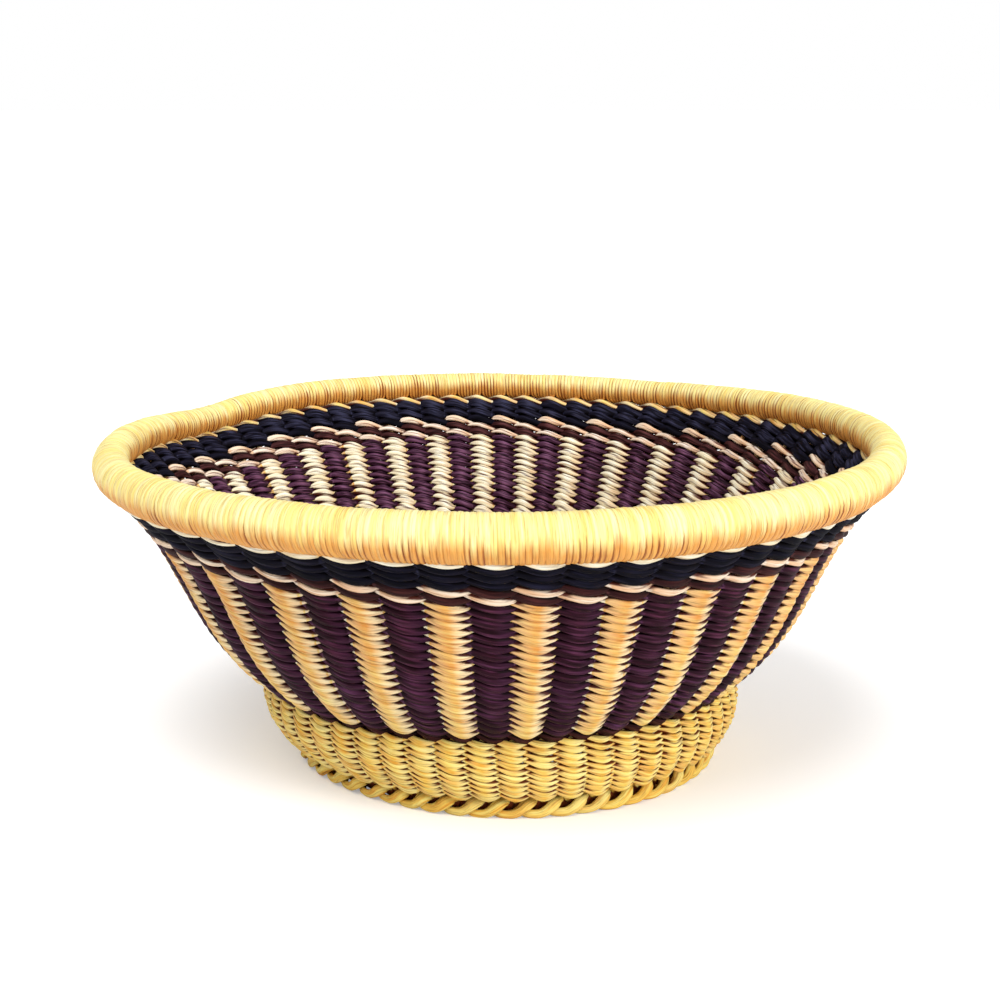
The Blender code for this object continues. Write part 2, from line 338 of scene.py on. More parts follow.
def directions(surface, row, stake):
    """Up the rows, in metres a row, and outward, of unit length."""
    up = (surface(row + NUDGE, stake) - surface(row - NUDGE, stake)) / (2.0 * NUDGE)
    across = surface(row, stake + NUDGE) - surface(row, stake - NUDGE)
    out = np.cross(across, up)
    return up, out / np.linalg.norm(out, axis=1)[:, None]


class Weave(NamedTuple):
    """A twined strand: wide and flat at each stake, drawn thin where it crosses its partner.

    Lengths up the wall are in rows, and lengths through it in metres. The swing is how far the
    strand goes out and in, and the tapers say how fast outer and inner stitches are drawn thin.
    The drop lowers a whole strand, and the sag raises it where it goes inside.
    """

    swing: float
    half_up: float
    half_out: float
    thin_up: float
    thin_out: float
    taper: float
    inner_taper: float
    drop: float = 0.0
    sag: float = 0.0


NATURAL_WEAVE = Weave(
    swing=2.75 * MM, half_up=0.56, half_out=1.25 * MM, thin_up=0.25, thin_out=1.55 * MM,
    taper=1.05, inner_taper=0.6
)
PURPLE_WEAVE = Weave(
    swing=2.55 * MM, half_up=0.53, half_out=1.15 * MM, thin_up=0.43, thin_out=1.65 * MM,
    taper=1.2, inner_taper=2.0
)
WAIST_WEAVE = Weave(
    swing=2.50 * MM, half_up=0.60, half_out=1.20 * MM, thin_up=0.44, thin_out=1.60 * MM,
    taper=1.0, inner_taper=1.5, drop=0.25
)
NAVY_WEAVE = Weave(
    swing=2.50 * MM, half_up=0.54, half_out=1.20 * MM, thin_up=0.43, thin_out=1.70 * MM,
    taper=1.0, inner_taper=1.4
)
CREAM_WEAVE = Weave(
    swing=2.70 * MM, half_up=0.38, half_out=1.15 * MM, thin_up=0.32, thin_out=1.55 * MM,
    taper=1.1, inner_taper=1.4, drop=0.04
)
RIM_WEAVE = Weave(
    swing=2.50 * MM, half_up=0.32, half_out=1.20 * MM, thin_up=0.27, thin_out=1.60 * MM,
    taper=1.1, inner_taper=1.5, drop=0.25
)
FOOT_WEAVE = Weave(
    swing=1.85 * MM, half_up=0.56, half_out=1.15 * MM, thin_up=0.33, thin_out=1.50 * MM,
    taper=1.0, inner_taper=1.4, sag=0.32
)
FLOOR_WEAVE = Weave(
    swing=1.85 * MM, half_up=0.56, half_out=1.15 * MM, thin_up=0.38, thin_out=1.50 * MM,
    taper=1.1, inner_taper=1.1
)

# How far a stitch runs downhill, in rows from its middle to its end.
SLANT = 0.30

# How uneven the stitches are: in height, in rows, in width, as a share, and in tone.
STITCH_RISE, STITCH_SWELL, STITCH_TONE = 0.07, 0.07, 0.15

# Painted shade: how dark a strand is painted deep in the weave, at its middle and further at its
# edges, and how dark its edges are painted elsewhere, at the stitches' middles and further at their
# ends.
DEEP_PAINTED_SHADE, DEEP_EDGE_PAINTED_SHADE = 0.35, 0.95
EDGE_PAINTED_SHADE, END_EDGE_PAINTED_SHADE = 0.08, 0.55

# Tones of outer and inner stitches. The straw of the inner ones is paler in a row of two, partly as
# a painted highlight.
PLAIN_TONES = (0.40, 0.40)
ROW_TONES = (0.40, 0.85)


def wander(places, count, size):
    """A smooth random value along a strand, with one draw for each whole place."""
    draws = RANDOM.uniform(-size, size, count)
    return np.interp(places % count, np.arange(count + 1), np.append(draws, draws[0]))


def twine(piece, surface, weave, row, phase, start=0.0, end=STAKES, stride=1, tones=PLAIN_TONES):
    """One strand of a twined row: outside one stake, inside the next, turning round its partner.

    A stride over 1 takes that many stakes together, as near the middle of the floor. The tones are
    those of the outer and of the inner stitches.
    """
    closed = end - start >= STAKES
    steps = int(round((end - start) * STEPS_PER_STAKE / stride))
    stake = start + (end - start) * np.arange(steps + (0 if closed else 1)) / steps
    turn = math.pi * (stake / stride + phase)
    c, n = np.cos(turn), np.sin(turn)
    stitches = STAKES // stride
    rise = wander(stake / stride, stitches, STITCH_RISE)
    swell = 1.0 + wander(stake / stride, stitches, STITCH_SWELL)
    tone = np.where(c < 0.0, tones[1], tones[0])
    tone = tone + wander(stake / stride + 0.5, stitches, STITCH_TONE)
    place = row + 0.5 - weave.drop + weave.sag * (1.0 - c) - SLANT * n + rise * c ** 2
    up, out = directions(surface, place, stake)
    offset = weave.swing * c
    centre = surface(place, stake) + out * offset[:, None]
    wide = np.abs(c) ** np.where(c < 0.0, weave.inner_taper, weave.taper)
    half_up = (weave.thin_up + (weave.half_up - weave.thin_up) * wide) * swell
    half_out = weave.thin_out + (weave.half_out - weave.thin_out) * wide
    along = np.concatenate([[0.0], np.cumsum(np.linalg.norm(np.diff(centre, axis=0), axis=1))])
    full = weave.swing + weave.half_out

    # Painted shade deep in the weave and at the strand's edges, most at the stitches' ends.
    def crevice(reach, side):
        depth = (1.0 - np.abs(offset[:, None] + reach) / full) ** 2
        ends = n[:, None] ** 2
        deep = depth * (DEEP_PAINTED_SHADE + DEEP_EDGE_PAINTED_SHADE * side ** 2)
        return deep + (EDGE_PAINTED_SHADE + END_EDGE_PAINTED_SHADE * ends) * side ** 4

    groove = GROOVE * (1.0 + INNER_GROOVE * np.clip(-c, 0.0, 1.0))
    lead = n * np.sign(c)
    piece.sweep(centre, up, out, half_up, half_out, along, tone, crevice, lead, closed, RING, groove)


def row_of_two(first, second, surface, weaves, row, tones=ROW_TONES):
    """A whole twined row. The first strand is outside the even stakes."""
    twine(first, surface, weaves[0], row, 0, tones=tones)
    twine(second, surface, weaves[1], row, 1, tones=tones)


# Shader building


def node(tree, kind, **values):
    made = tree.nodes.new(kind)
    for key, value in values.items():
        setattr(made, key, value)
    return made


def attribute(tree, name):
    return node(tree, "ShaderNodeAttribute", attribute_name=name)


def ramp(tree, source, stops):
    made = node(tree, "ShaderNodeValToRGB")
    elements = made.color_ramp.elements
    while len(elements) < len(stops):
        elements.new(0.5)
    for element, (place, colour) in zip(elements, stops):
        element.position = place
        element.color = (*colour, 1.0)
    tree.links.new(source, made.inputs["Fac"])
    return made.outputs["Color"]


def mix(tree, factor, a, b, blend="MIX"):
    made = node(tree, "ShaderNodeMix", data_type="RGBA", blend_type=blend)
    for key, value in (("Factor", factor), ("A", a), ("B", b)):
        socket = made.inputs[key]
        if isinstance(value, bpy.types.NodeSocket):
            tree.links.new(value, socket)
        elif isinstance(value, tuple):
            socket.default_value = (*value, 1.0)
        else:
            socket.default_value = value
    return made.outputs["Result"]


def fibres(tree, stretch, scale, detail):
    """Noise drawn out along the strand."""
    mapping = node(tree, "ShaderNodeMapping")
    mapping.inputs["Scale"].default_value = (stretch, 1.0, 1.0)
    tree.links.new(attribute(tree, "grain").outputs["Vector"], mapping.inputs["Vector"])
    noise = node(tree, "ShaderNodeTexNoise")
    noise.inputs["Scale"].default_value = scale
    noise.inputs["Detail"].default_value = detail
    tree.links.new(mapping.outputs["Vector"], noise.inputs["Vector"])
    return noise.outputs["Fac"]


def spread(tree, source, low, high, smooth=False):
    """A value stretched from a range to 0 to 1."""
    kind = "SMOOTHSTEP" if smooth else "LINEAR"
    made = node(tree, "ShaderNodeMapRange", interpolation_type=kind)
    made.inputs["From Min"].default_value = low
    made.inputs["From Max"].default_value = high
    tree.links.new(source, made.inputs["Value"])
    return made.outputs["Result"]


def calculate(tree, operation, first, second):
    made = node(tree, "ShaderNodeMath", operation=operation)
    for socket, value in zip(made.inputs, (first, second)):
        if isinstance(value, bpy.types.NodeSocket):
            tree.links.new(value, socket)
        else:
            socket.default_value = value
    return made.outputs["Value"]


def about_zero(tree, noise, strength):
    """Noise that lies about zero, times a strength."""
    return calculate(tree, "MULTIPLY", calculate(tree, "SUBTRACT", noise, 0.5), strength)


WHITE = (1.0, 1.0, 1.0)

# Values of the noises at which the body's three colours, the streaks and the lines stand.
BODY_STOPS = (0.36, 0.5, 0.64)
STREAK_STOPS = (0.42, 0.56)
LINE_STOPS = (0.34, 0.50)

# Noise in the straw: how far it is drawn out along the strand, its scale and its detail.
FINE = (0.05, 1700.0, 3.0)
BROAD = (0.06, 600.0, 2.0)
THREADS = (0.05, 1000.0, 2.0)
BLOTCHES = (0.5, 130.0, 2.0)

# The lower the tone, the more golden the straw. Over a range of high tones it turns pale by a share.
GOLDEN_TONES = ((0.0, (0.92, 0.68, 0.58)), (0.5, WHITE))
PALE_TONES, PALE_SHARE = (0.5, 0.8), 0.92

# Where on a stitch the tip and tail colours start and are full, from -1 at its trailing end to 1 at
# its leading end, how strong the tail is, and how ragged both edges are. The pale ends are partly a
# painted highlight.
TIP_RANGE, TAIL_RANGE = (0.2, 1.0), (-0.1, -1.0)
TAIL_SHARE, RAGGED = 0.65, 0.9

# Dark lines between the finest fibres, how strong they are, and how deep they are cut.
LINE_COLOUR, LINE_SHARE = (0.60, 0.50, 0.42), 0.7
LINE_DEPTH, LINE_BUMP = 0.4 * MM, 0.6

# How much the depth from which the straw is painted dark, as painted shade, differs from spot to
# spot.
BLOTCHY = 0.7

# How far the roughness goes below and above its middle.
ROUGHNESS_SPREAD = (-0.1, 0.15)


def straw(
    name, dark, middle, light, pale, streak, tip, tail, crevice, roughness, gloss,
    tip_share=0.75, crevice_range=(0.30, 0.85)
):
    """Straw with fibres along the strand.

    High tones go to the pale colour, with threads of the streak colour in it; in the dark straws the
    pale colour is partly a painted highlight. The leading end of a stitch takes the tip colour and
    the trailing end the tail colour, the pale ends partly a painted highlight; on the binding the tip
    colour is painted shade on the underside. Grooves and places deep in the weave take a painted
    shade colour, more in some spots than in others.
    """
    material = bpy.data.materials.new(name)
    material.use_nodes = True
    tree = material.node_tree
    shader = tree.nodes["Principled BSDF"]
    fine, broad = fibres(tree, *FINE), fibres(tree, *BROAD)
    threads, blotches = fibres(tree, *THREADS), fibres(tree, *BLOTCHES)

    body = ramp(tree, broad, tuple(zip(BODY_STOPS, (dark, middle, light))))
    tone = attribute(tree, "tone").outputs["Fac"]
    body = mix(tree, 1.0, body, ramp(tree, tone, GOLDEN_TONES), "MULTIPLY")
    streaks = ramp(tree, threads, tuple(zip(STREAK_STOPS, (streak, WHITE))))
    paleness = calculate(tree, "MULTIPLY", spread(tree, tone, *PALE_TONES), PALE_SHARE)
    body = mix(tree, paleness, body, mix(tree, 1.0, pale, streaks, "MULTIPLY"))

    # End colours: partly a painted highlight at the stitches' ends, and painted shade on the
    # binding's underside.
    lead = attribute(tree, "lead").outputs["Fac"]
    lead = calculate(tree, "ADD", lead, about_zero(tree, broad, RAGGED))
    tipped = calculate(tree, "MULTIPLY", spread(tree, lead, *TIP_RANGE), tip_share)
    body = mix(tree, tipped, body, tip)
    tailed = calculate(tree, "MULTIPLY", spread(tree, lead, *TAIL_RANGE), TAIL_SHARE)
    body = mix(tree, tailed, body, tail)

    lines = ramp(tree, fine, tuple(zip(LINE_STOPS, (LINE_COLOUR, WHITE))))
    body = mix(tree, LINE_SHARE, body, lines, "MULTIPLY")
    # Painted shade: places deep in the weave and in grooves are painted dark, more in some spots than
    # in others.
    deep = attribute(tree, "crevice").outputs["Fac"]
    deep = calculate(tree, "ADD", deep, about_zero(tree, blotches, BLOTCHY))
    body = mix(tree, spread(tree, deep, *crevice_range, smooth=True), body, crevice)
    tree.links.new(body, shader.inputs["Base Color"])

    rough = node(tree, "ShaderNodeMapRange")
    below, above = ROUGHNESS_SPREAD
    rough.inputs["To Min"].default_value = roughness + below
    rough.inputs["To Max"].default_value = roughness + above
    tree.links.new(fine, rough.inputs["Value"])
    tree.links.new(rough.outputs["Result"], shader.inputs["Roughness"])
    shader.inputs["Specular IOR Level"].default_value = gloss
    bump = node(tree, "ShaderNodeBump")
    bump.inputs["Strength"].default_value = LINE_BUMP
    bump.inputs["Distance"].default_value = LINE_DEPTH
    tree.links.new(fine, bump.inputs["Height"])
    tree.links.new(bump.outputs["Normal"], shader.inputs["Normal"])
    return material


# In each straw below, the darkest colour, for places deep in the weave, is painted shade.
NATURAL = straw(
    "natural_straw_fibres",
    dark=(0.80, 0.42, 0.085),
    middle=(0.93, 0.66, 0.185),
    light=(0.97, 0.80, 0.27),
    pale=(1.0, 1.0, 0.86),
    streak=(0.86, 0.78, 0.66),
    tip=(1.0, 0.88, 0.60),
    tail=(0.95, 0.64, 0.32),
    crevice=(0.075, 0.010, 0.005),
    roughness=0.5,
    gloss=0.3,
)
FOOT_STRAW = straw(
    "foot_straw_fibres",
    dark=(0.85, 0.43, 0.055),
    middle=(0.96, 0.67, 0.130),
    light=(1.0, 0.82, 0.24),
    pale=(1.0, 0.88, 0.36),
    streak=(0.80, 0.66, 0.50),
    tip=(1.0, 0.86, 0.36),
    tail=(0.93, 0.56, 0.17),
    crevice=(0.14, 0.024, 0.003),
    roughness=0.5,
    gloss=0.18,
)
# The light and pale colours of the purple straw are partly a painted highlight.
PURPLE = straw(
    "purple_straw_fibres",
    dark=(0.012, 0.001, 0.005),
    middle=(0.034, 0.007, 0.023),
    light=(0.110, 0.034, 0.095),
    pale=(0.210, 0.085, 0.165),
    streak=(0.10, 0.05, 0.08),
    tip=(0.044, 0.010, 0.032),
    tail=(0.022, 0.003, 0.010),
    crevice=(0.008, 0.001, 0.003),
    roughness=0.5,
    gloss=0.07,
)
# The pale colour of the maroon straw is partly a painted highlight.
MAROON = straw(
    "maroon_straw_fibres",
    dark=(0.016, 0.003, 0.004),
    middle=(0.034, 0.007, 0.008),
    light=(0.070, 0.018, 0.018),
    pale=(0.120, 0.038, 0.040),
    streak=(0.16, 0.12, 0.12),
    tip=(0.036, 0.008, 0.009),
    tail=(0.026, 0.005, 0.006),
    crevice=(0.007, 0.001, 0.001),
    roughness=0.5,
    gloss=0.07,
)
# The pale colour of the navy straw is partly a painted highlight.
NAVY = straw(
    "navy_straw_fibres",
    dark=(0.002, 0.002, 0.005),
    middle=(0.004, 0.004, 0.010),
    light=(0.014, 0.013, 0.030),
    pale=(0.042, 0.042, 0.085),
    streak=(0.12, 0.11, 0.15),
    tip=(0.007, 0.006, 0.014),
    tail=(0.005, 0.004, 0.008),
    crevice=(0.002, 0.001, 0.002),
    roughness=0.6,
    gloss=0.04,
)
CREAM = straw(
    "cream_straw_fibres",
    dark=(0.88, 0.60, 0.38),
    middle=(0.96, 0.74, 0.52),
    light=(1.0, 0.86, 0.68),
    pale=(1.0, 0.88, 0.78),
    streak=(0.86, 0.74, 0.62),
    tip=(1.0, 0.84, 0.66),
    tail=(0.84, 0.48, 0.25),
    crevice=(0.10, 0.018, 0.008),
    roughness=0.5,
    gloss=0.3,
)
STAKE = straw(
    "stake_straw_fibres",
    dark=(0.40, 0.22, 0.08),
    middle=(0.55, 0.34, 0.13),
    light=(0.66, 0.45, 0.20),
    pale=(0.66, 0.45, 0.20),
    streak=(0.66, 0.54, 0.50),
    tip=(0.66, 0.45, 0.20),
    tail=(0.55, 0.34, 0.13),
    crevice=(0.12, 0.05, 0.02),
    roughness=0.65,
    gloss=0.2,
)
# On the binding the tip colour is painted shade on the underside and the inner side.
BINDING = straw(
    "rim_binding_fibres",
    dark=(0.96, 0.74, 0.215),
    middle=(1.0, 0.84, 0.30),
    light=(1.0, 0.91, 0.42),
    pale=(1.0, 0.93, 0.50),
    streak=(0.90, 0.78, 0.60),
    tip=(0.82, 0.35, 0.060),
    tail=(1.0, 0.84, 0.30),
    crevice=(0.30, 0.075, 0.010),
    roughness=0.42,
    gloss=0.35,
    tip_share=0.95,
    crevice_range=(0.30, 1.00),
)
CORE = straw(
    "rim_core_grass_fibres",
    dark=(0.30, 0.19, 0.07),
    middle=(0.42, 0.28, 0.11),
    light=(0.52, 0.37, 0.16),
    pale=(0.52, 0.37, 0.16),
    streak=(0.66, 0.54, 0.50),
    tip=(0.42, 0.28, 0.11),
    tail=(0.42, 0.28, 0.11),
    crevice=(0.12, 0.06, 0.02),
    roughness=0.8,
    gloss=0.2,
)


# Bowl

# The third stepped cream strand runs round the back only, from stake to stake.
STEP_STAKES = (-7.5, 39.5)

# The stripes are more golden and darker up the wall, a painted shade under the rim, by this much
# of the tone.
PAINTED_SHADE_UP_WALL = 0.45

# Tones of the outer and inner stitches of the row under the rim.
RIM_ROW_TONES = (0.80, 0.50)


def bowl_weave():
    waist = Piece()
    row_of_two(waist, waist, wall_surface, (WAIST_WEAVE, WAIST_WEAVE), WAIST_ROW)
    waist.make("waist_strands", MAROON, "purple_straw", ["waist_strand"])

    natural, purple = Piece(), Piece()
    outer_tone, inner_tone = ROW_TONES
    for row in STRIPE_ROWS:
        tones = (outer_tone - PAINTED_SHADE_UP_WALL * row / len(STRIPE_ROWS), inner_tone)
        row_of_two(purple, natural, wall_surface, (PURPLE_WEAVE, NATURAL_WEAVE), row, tones)
    nodes = [f"natural_stripe_strand_{i}" for i in range(1, 5)]
    natural.make("natural_stripe_strands", NATURAL, "natural_straw", nodes)
    nodes = [f"purple_stripe_strand_{i}" for i in range(1, 5)]
    purple.make("purple_stripe_strands", PURPLE, "purple_straw", nodes)

    lower, upper, partner, navy = Piece(), Piece(), Piece(), Piece()
    row_of_two(lower, partner, wall_surface, (CREAM_WEAVE, NAVY_WEAVE), LOWER_STEP_ROW)
    row_of_two(partner, upper, wall_surface, (NAVY_WEAVE, CREAM_WEAVE), UPPER_STEP_ROW)
    left, right = STEP_STAKES
    twine(upper, wall_surface, CREAM_WEAVE, BACK_STEP_ROW, 0, left, right)
    twine(navy, wall_surface, NAVY_WEAVE, BACK_STEP_ROW, 0, right, left + STAKES)
    twine(navy, wall_surface, NAVY_WEAVE, BACK_STEP_ROW, 1)
    for row in NAVY_ROWS:
        if row != BACK_STEP_ROW:
            row_of_two(navy, navy, wall_surface, (NAVY_WEAVE, NAVY_WEAVE), row)
    lower.make("lower_cream_twined_strand", CREAM, "cream_straw", ["lower_cream_strand"])
    upper.make("upper_cream_twined_strand", CREAM, "cream_straw", ["upper_cream_strand"])
    partner.make("maroon_partner_strands", MAROON, "purple_straw", ["upper_cream_strand"])
    navy.make("navy_twined_strands", NAVY, "navy_straw", ["navy_strand_1", "navy_strand_2"])

    rim_row = Piece()
    row_of_two(rim_row, rim_row, wall_surface, (RIM_WEAVE, RIM_WEAVE), RIM_ROW, RIM_ROW_TONES)
    rim_row.make("rim_row_strands", NATURAL, "cream_straw", ["rim_strand"])


def no_crevice(reach, side):
    return np.zeros_like(reach)


def stake_tube(piece, surface, stake, rows, steps, radius):
    """A round stake that follows a surface."""
    place = np.linspace(*rows, steps)
    where = np.full_like(place, stake)
    up, out = directions(surface, place, where)
    centre = surface(place, where)
    side = np.cross(out, up)
    side /= np.linalg.norm(side, axis=1)[:, None]
    size = np.full(steps, radius)
    along = np.cumsum(np.linalg.norm(up, axis=1)) * (place[1] - place[0])
    tone = np.full(steps, RANDOM.uniform(0.0, 1.0))
    lead = np.zeros(steps)
    piece.sweep(centre, side, out, size, size, along, tone, no_crevice, lead, False, STEM_RING)


# The stakes in the wall and in the floor: first and last row, places along them, and radius.
WALL_STAKE = ((0.2, WALL_ROWS + 0.6), 20, 1.25 * MM)
FLOOR_STAKE = ((0.0, FLOOR_ROWS + 0.3), 12, 0.95 * MM)


def bowl_stakes():
    piece = Piece()
    for stake in range(STAKES):
        stake_tube(piece, wall_surface, stake, *WALL_STAKE)
        stake_tube(piece, floor_surface, stake, *FLOOR_STAKE)
    piece.make("bowl_stakes_round", STAKE, "stake_straw", ["bowl_stakes"])


# Stakes are taken together near the middle of the floor: first row, last row and how many stakes.
FLOOR_STRIDES = ((0, 4, 4), (4, 9, 2), (9, FLOOR_ROWS, 1))


def floor_weave():
    piece = Piece()
    for first, last, stride in FLOOR_STRIDES:
        for row in range(first, last):
            for phase in (0, 1):
                twine(piece, floor_surface, FLOOR_WEAVE, row, phase, stride=stride)
    nodes = ["floor_strand_1", "floor_strand_2"]
    piece.make("floor_weave_strands", NATURAL, "natural_straw", nodes)


# The crossing in the middle of the floor: strips each way, their size, how far they go over and
# under, how far the crossing reaches, and how dark the strips are painted where they go under, as
# painted shade.
CROSS_STRIPS = 5
CROSS_PITCH = 7.6 * MM
CROSS_HALF_WIDTH, CROSS_HALF_THICKNESS = 3.7 * MM, 1.1 * MM
CROSS_LIFT = 1.0 * MM
CROSS_REACH = FLOOR_INNER_RADIUS + 1.0 * MM
CROSS_STEPS = 41
CROSS_TONES = (0.25, 0.50)
CROSS_GROOVE = 0.5 * GROOVE
CROSS_PAINTED_SHADE = 0.5


def crossing_strip(piece, i, turned):
    """One strip of the crossing. Turned strips lie front to back."""
    across = (i - (CROSS_STRIPS - 1) / 2) * CROSS_PITCH
    half = math.sqrt(CROSS_REACH ** 2 - across ** 2)
    run = np.linspace(-half, half, CROSS_STEPS)
    lift = CROSS_LIFT * np.cos(math.pi * (run / CROSS_PITCH + i + (0.0 if turned else 1.0)))
    flat = np.full_like(run, across)
    level = FLOOR_HEIGHT + lift
    centre = np.stack([flat, run, level] if turned else [run, flat, level], -1)
    side = np.tile((1.0, 0.0, 0.0) if turned else (0.0, 1.0, 0.0), (CROSS_STEPS, 1))
    out = np.tile((0.0, 0.0, 1.0), (CROSS_STEPS, 1))

    # Painted shade where a strip goes under the other.
    def crevice(reach, height):
        return CROSS_PAINTED_SHADE - CROSS_PAINTED_SHADE * np.abs(lift[:, None] + reach) / CROSS_LIFT

    tone = np.full(CROSS_STEPS, RANDOM.uniform(*CROSS_TONES))
    wide = np.full(CROSS_STEPS, CROSS_HALF_WIDTH)
    thick = np.full(CROSS_STEPS, CROSS_HALF_THICKNESS)
    lead = np.zeros(CROSS_STEPS)
    piece.sweep(centre, side, out, wide, thick, run, tone, crevice, lead, False, RING, CROSS_GROOVE)


def floor_centre():
    """The start of the weaving: bundles crossed over and under each other."""
    piece = Piece()
    for turned in (False, True):
        for i in range(CROSS_STRIPS):
            crossing_strip(piece, i, turned)
    piece.make("floor_centre_crossing", NATURAL, "natural_straw", ["floor_centre_knot"])


# Rim


def rim_section(stake, turn, shrink):
    """A place on the rim's oval, shrunk by a depth, and the direction out of it."""
    x, y = fan_point(stake, np.full_like(turn, RIM_RADIUS))
    thinner = THINNER_AT_THE_BACK * backness(x, y)
    outward = np.stack([x, y, np.zeros_like(x)], -1) / RIM_RADIUS
    wide = RIM_HALF_WIDTH * (1.0 - thinner) - shrink
    high = RIM_HALF_HEIGHT * (1.0 - thinner) - shrink
    centre = np.stack([x, y, RIM_TOP - shrink - high], -1)
    aside = RIM_HALF_WIDTH * thinner + wide * np.cos(turn)
    point = centre + outward * aside[:, None]
    point[:, 2] += high * np.sin(turn)
    away = outward * (high * np.cos(turn))[:, None]
    away[:, 2] += wide * np.sin(turn)
    return point, away / np.linalg.norm(away, axis=1)[:, None]


# One turn of the binding: places along it, points round it, half its width, as a share of the
# pitch, half its thickness, and the depth of its grooves.
TURN_STEPS = 20
TURN_RING = 10
TURN_HALF_WIDTH = 0.62
TURN_HALF_THICKNESS = 0.75 * MM
TURN_GROOVE = 0.04

# How uneven the turns are: how far each is raised, in mm, how far they rise and fall from stake to
# stake, in mm, how much their widths differ, and their tones.
TURN_RAISED, TURN_WANDER = 0.12, 0.3
TURN_WIDTH_SPREAD = 0.12
TURN_TONES = (0.35, 0.75)

# Below, on the inner side, the turns gather where they go through between two stakes: how far they
# move together, where on the section, over what width, by what share they narrow, and how much
# painted shade darkens them there.
GATHER = 0.30
GATHER_ANGLE = math.radians(-115.0)
GATHER_WIDTH = 0.35
GATHER_NARROWS = 0.4
GATHER_PAINTED_SHADE = 0.5

# The tip colour of the straw is painted shade here, darker and more orange below. It shows on the
# underside: its amount halfway up, how fast it grows downward, how much is added on the inner side,
# and how much the turns differ.
UNDERSIDE_SHADE, UNDERSIDE_SHADE_DOWNWARD, UNDERSIDE_SHADE_INSIDE, UNDERSIDE_SHADE_SPREAD = 0.42, 1.25, 0.35, 0.25

# Painted shade in lines between turns: their least strength and what is added to some, the shares
# of it on top, further where the underside is painted shaded and further at the back, what is added
# on the inner side and further at its back, and how narrow the lines are.
PARTING_LEAST, PARTING_MORE = 0.45, 2.4
PARTING_TOP, PARTING_UNDERSIDE, PARTING_BACK = 0.1, 0.9, 0.4
PARTING_INSIDE, PARTING_INSIDE_BACK = 0.3, 0.4
PARTING_SHARPNESS = 2.4

# Step, in stakes, over which the direction round the rim is measured.
RIM_NUDGE = 0.05


def rim_binding():
    """Straw wound closely round the rim."""
    piece = Piece()
    turns = STAKES * TURNS_PER_STAKE
    count = turns * TURN_STEPS
    run = np.arange(count) / TURN_STEPS
    section = -math.tau * run - 0.5 * math.pi
    stake = run / TURNS_PER_STAKE
    apart = (section - GATHER_ANGLE + math.pi) % math.tau - math.pi
    gathered = GATHER * np.exp(-(apart / GATHER_WIDTH) ** 2)
    gap = np.floor(stake) + 0.5
    stake = gap + (stake - gap) * (1.0 - gathered)

    whole = np.floor(run).astype(int)
    raised = RANDOM.uniform(-TURN_RAISED, TURN_RAISED, turns + 1)[whole]
    raised = (raised + wander(stake, STAKES, TURN_WANDER)) * MM
    width = 1.0 + RANDOM.uniform(-TURN_WIDTH_SPREAD, TURN_WIDTH_SPREAD, turns + 1)[whole]
    tones = RANDOM.uniform(*TURN_TONES, turns + 1)[whole]
    parted = (PARTING_LEAST + PARTING_MORE * RANDOM.uniform(0.0, 1.0, turns + 1) ** 2)[whole]
    turn_shade_spread = RANDOM.uniform(-UNDERSIDE_SHADE_SPREAD, UNDERSIDE_SHADE_SPREAD, turns + 1)[whole]

    centre, away = rim_section(stake, section, TURN_HALF_THICKNESS)
    centre = centre + away * raised[:, None]
    ahead, _ = rim_section(stake + RIM_NUDGE, section, TURN_HALF_THICKNESS)
    behind, _ = rim_section(stake - RIM_NUDGE, section, TURN_HALF_THICKNESS)
    gone = np.linalg.norm(ahead - behind, axis=1)
    across = (ahead - behind) / gone[:, None]
    pitch = gone / (2.0 * RIM_NUDGE) / TURNS_PER_STAKE
    half_width = TURN_HALF_WIDTH * pitch * width * (1.0 - GATHER_NARROWS * gathered)
    along = np.cumsum(np.full(count, math.tau * RIM_HALF_WIDTH / TURN_STEPS))

    # Painted shade on the underside and the inner side, and in the lines between turns.
    inner = np.maximum(-np.cos(section), 0.0)
    back = backness(centre[:, 0], centre[:, 1])
    underside_shade = UNDERSIDE_SHADE - UNDERSIDE_SHADE_DOWNWARD * np.sin(section) + UNDERSIDE_SHADE_INSIDE * inner + turn_shade_spread
    underside_shade = np.clip(underside_shade, 0.0, 1.0)
    lined = parted * (PARTING_TOP + PARTING_UNDERSIDE * underside_shade + PARTING_BACK * back)
    lined = lined + inner * (PARTING_INSIDE + PARTING_INSIDE_BACK * back)

    # Painted shade in the lines between turns and where the turns gather.
    def crevice(reach, side):
        line = np.abs(side) ** PARTING_SHARPNESS * lined[:, None]
        return line + GATHER_PAINTED_SHADE * gathered[:, None]

    thick = np.full(count, TURN_HALF_THICKNESS)
    piece.sweep(
        centre, across, away, half_width, thick, along, tones, crevice, underside_shade, False,
        TURN_RING, TURN_GROOVE
    )
    piece.make("rim_binding_turns", BINDING, "natural_straw", ["rim_binding"])


# The core's stems: one in the middle, and the others in a ring that winds round it.
CORE_STEMS = 9
CORE_STEM_RADIUS = 1.9 * MM
CORE_RING_DEPTH = 4.6 * MM
CORE_MIDDLE_DEPTH = RIM_HALF_HEIGHT - 0.2 * MM
CORE_TWISTS = 6
CORE_STEPS = 200


